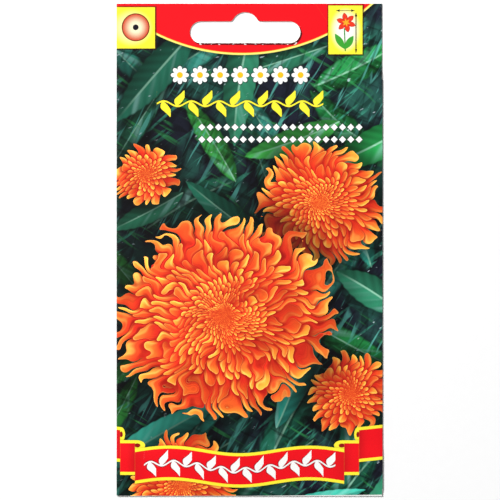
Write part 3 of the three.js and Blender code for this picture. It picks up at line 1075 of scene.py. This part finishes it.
def scale_blade(turn, start, end):
    """One thin pointed scale that leans out from the seed's upper end, as a closed wedge."""
    outward = np.array([0, math.cos(turn), math.sin(turn)])
    sideways = np.array([0, -math.sin(turn), math.cos(turn)])
    stations = [(0.0, 0.3, 0.2), (0.4, 0.5, 0.24), (0.75, 0.68, 0.16), (1.0, 0.82, 0.03)]  # share, reach, width
    half = 0.035
    points, faces = [], []
    for share, reach, width in stations:
        axis = np.array([start + (end - start) * share, 0, 0])
        for thickness in (-half, half):
            for side in (-1, 1):
                points.append(tuple(axis + outward * (reach + thickness) + sideways * width * side))
    for k in range(len(stations) - 1):
        a, b = 4 * k, 4 * k + 4
        faces += [[a, a + 1, b + 1, b], [a + 3, a + 2, b + 2, b + 3]]
        faces += [[a + 2, a, b, b + 2], [a + 1, a + 3, b + 3, b + 1]]
    last = 4 * (len(stations) - 1)
    faces += [[0, 2, 3, 1], [last, last + 1, last + 3, last + 2]]
    return points, faces


def seed_axis(node):
    """The lower and upper end of a packed seed, and its radius, in metres. The upper end is the wider one."""
    points = np.array([v.co for v in node.data.vertices])
    middle = (points.min(0) + points.max(0)) / 2
    direction = np.linalg.svd(points - points.mean(0), full_matrices=False)[2][0]
    along = (points - middle) @ direction
    away = np.linalg.norm(points - middle - np.outer(along, direction), axis=1)
    if away[along > 0].max() < away[along < 0].max():
        direction, along = -direction, -along
    return middle + direction * along.min(), middle + direction * along.max(), away.max()


def make_seeds(coat, scales):
    """A seed in place of each packed one, all in one mesh."""
    nodes = {name: node for name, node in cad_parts.items() if name.startswith("seed_")}
    template, template_faces, template_slots = seed_template()
    template = np.array(template)
    points, faces, slots = [], [], []
    for name in sorted(nodes):
        low, high, radius = seed_axis(nodes[name])
        forward = (high - low) / np.linalg.norm(high - low)
        sideways = np.cross([0, 0, 1], forward)
        axes = np.array([high - low, sideways * radius, (0, 0, radius)])
        start = len(points)
        points += [tuple(p) for p in low + template @ axes]
        faces += [[start + n for n in face] for face in template_faces]
        slots += template_slots
    mesh = bpy.data.meshes.new("loose_seeds")
    mesh.from_pydata(points, [], faces)
    mesh.materials.append(coat)
    mesh.materials.append(scales)
    mesh.polygons.foreach_set("material_index", slots)
    mesh.shade_smooth()
    mesh.set_sharp_from_angle(angle=math.radians(40))
    seeds = new_object("loose_seeds", mesh)
    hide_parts(*sorted(nodes))
    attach(seeds, "root")


# ---- stage, light and camera


def build_floor(shader):
    fine = noise(object_point(), 0.4)
    feed(shader.inputs["Base Color"], mixed((0.94, 0.94, 0.94), (0.96, 0.96, 0.96), fine))
    shader.inputs["Roughness"].default_value = 0.9
    shader.inputs["Specular IOR Level"].default_value = 0.0


def make_floor():
    mesh = bpy.data.meshes.new("floor")
    reach = 2.0  # metres
    corners = [(x * reach, y * reach, 0) for x, y in ((-1, -1), (1, -1), (1, 1), (-1, 1))]
    mesh.from_pydata(corners, [], [[0, 1, 2, 3]])
    mesh.materials.append(surface("floor", build_floor))
    new_object("floor", mesh)


def make_light(name, place, size, watts):
    """A square soft light that faces the packet. Its place and size are in metres."""
    lamp = bpy.data.lights.new(name, "AREA")
    lamp.size = size
    lamp.energy = watts
    thing = new_object(name, lamp)
    thing.location = place
    thing.rotation_euler = (-Vector(place)).to_track_quat("-Z", "Y").to_euler()


def make_world():
    """An even pale sky, brighter near the horizon than overhead."""
    world = bpy.data.worlds.new("studio")
    bpy.context.scene.world = world
    world.use_nodes = True
    background = world.node_tree.nodes["Background"]
    feed(background.inputs["Color"], (1, 1, 1))
    Field.tree = world.node_tree
    height = new_node("ShaderNodeSeparateXYZ")
    feed(height.inputs[0], Field(new_node("ShaderNodeTexCoord").outputs["Generated"]))
    overhead, extra_at_horizon = 0.14, 0.65
    strength = step_up(Field(height.outputs[2]), 0.25, 0.02) * extra_at_horizon + overhead
    feed(background.inputs["Strength"], strength)


def make_camera():
    """A long lens straight above, so that the packet fills the frame as in the photograph."""
    camera = bpy.data.cameras.new("camera")
    camera.lens = 135
    frame_width = FRAME_PIXELS / PIXELS_PER_MM * MM
    height = frame_width * camera.lens / camera.sensor_width
    thing = new_object("camera", camera)
    middle = FRAME_PIXELS / 2
    x = (middle - PACKET_PIXEL[0]) / PIXELS_PER_MM * MM
    y = (PACKET_PIXEL[1] - middle) / PIXELS_PER_MM * MM
    thing.location = (x, y, height)
    bpy.context.scene.camera = thing


make_camera()
make_floor()
make_world()
make_light("key", (-1.0, 1.0, 1.4), 0.4, 50.0)
make_light("fill", (0.5, -0.2, 1.0), 0.9, 1.2)
bpy.context.scene.view_settings.view_transform = "Standard"

makers = {"printed_front": build_front_paper, "printed_back": build_back_paper, "bare_paper": build_bare_paper}
make_sheet([surface(name, build) for name, build in makers.items()])
glue_material = surface("dried_glue", build_glue)
for film in ("header_glue", "side_seam_glue", "bottom_flap_glue"):
    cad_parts[film].data.materials[0] = glue_material
make_seeds(surface("seed_coat", build_seed_coat), surface("seed_scales", build_seed_scales))
